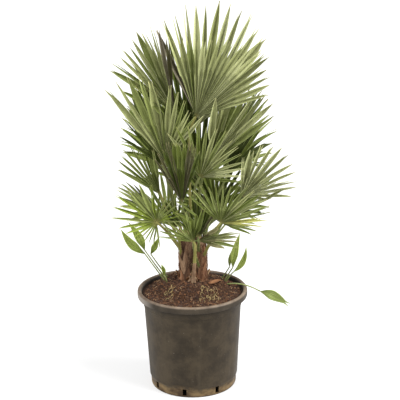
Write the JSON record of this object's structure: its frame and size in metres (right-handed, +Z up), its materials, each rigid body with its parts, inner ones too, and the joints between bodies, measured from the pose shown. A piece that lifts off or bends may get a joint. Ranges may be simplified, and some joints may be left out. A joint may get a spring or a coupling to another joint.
{
  "type": "potted european fan palm",
  "caption": "Clustered fan palm with stiff pleated fan leaves on thin stalks, growing from short fibrous stems in a round tapered nursery pot with a rolled rim.",
  "frame": {"origin": "centre of the flat underside of the pot", "axes": "+Z up along the pot's axis, -Y towards the side the picture shows"},
  "size_m": [0.5692, 0.5283, 1.2248],
  "materials": {
    "pot_plastic": "matt",
    "potting_soil": "matt",
    "stem_bark": "matt",
    "leaf_husk": "matt",
    "leaf_stalk": "satin",
    "blade_green": "satin",
    "blade_dark": "satin",
    "young_leaf": "satin"
  },
  "bodies": {
    "root": {"fallen_husk": "leaf_husk", "fan_centre_folded": "blade_green", "fan_centre_front": "blade_green", "fan_front_low": "blade_green", "fan_left_dark": "blade_dark", "fan_left_out": "blade_green", "fan_low_left": "blade_green", "fan_low_right": "blade_green", "fan_lower_left": "blade_green", "fan_lower_right": "blade_green", "fan_right_dark": "blade_dark", "fan_right_out": "blade_green", "fan_right_pale": "blade_green", "fan_top_behind": "blade_green", "fan_top_front": "blade_green", "fan_top_left": "blade_green", "fan_upper_left": "blade_green", "frond_back_high": "blade_dark", "frond_back_left": "blade_dark", "frond_back_low_left": "blade_dark", "frond_back_low_right": "blade_dark", "frond_back_mid": "blade_dark", "frond_back_right": "blade_dark", "frond_centre_behind": "blade_dark", "frond_centre_low": "blade_dark", "frond_front_mid": "blade_dark", "frond_right_inner": "blade_dark", "frond_side_left": "blade_dark", "frond_side_left_low": "blade_dark", "frond_side_right": "blade_dark", "frond_side_right_low": "blade_dark", "pot": "pot_plastic", "soil": "potting_soil", "stalk_centre_folded": "leaf_stalk", "stalk_centre_front": "leaf_stalk", "stalk_front_low": "leaf_stalk", "stalk_left_dark": "leaf_stalk", "stalk_left_out": "leaf_stalk", "stalk_low_left": "leaf_stalk", "stalk_low_right": "leaf_stalk", "stalk_lower_left": "leaf_stalk", "stalk_lower_right": "leaf_stalk", "stalk_right_dark": "leaf_stalk", "stalk_right_out": "leaf_stalk", "stalk_right_pale": "leaf_stalk", "stalk_top_behind": "leaf_stalk", "stalk_top_front": "leaf_stalk", "stalk_top_left": "leaf_stalk", "stalk_upper_left": "leaf_stalk", "stem_back": "stem_bark", "stem_main": "stem_bark", "stem_right": "stem_bark", "young_left_inner": "young_leaf", "young_left_outer": "young_leaf", "young_left_small": "young_leaf", "young_left_upper": "young_leaf", "young_right_inner": "young_leaf", "young_right_outer": "young_leaf", "young_right_tall": "young_leaf", "young_trailing": "young_leaf"}
  },
  "joints": []
}
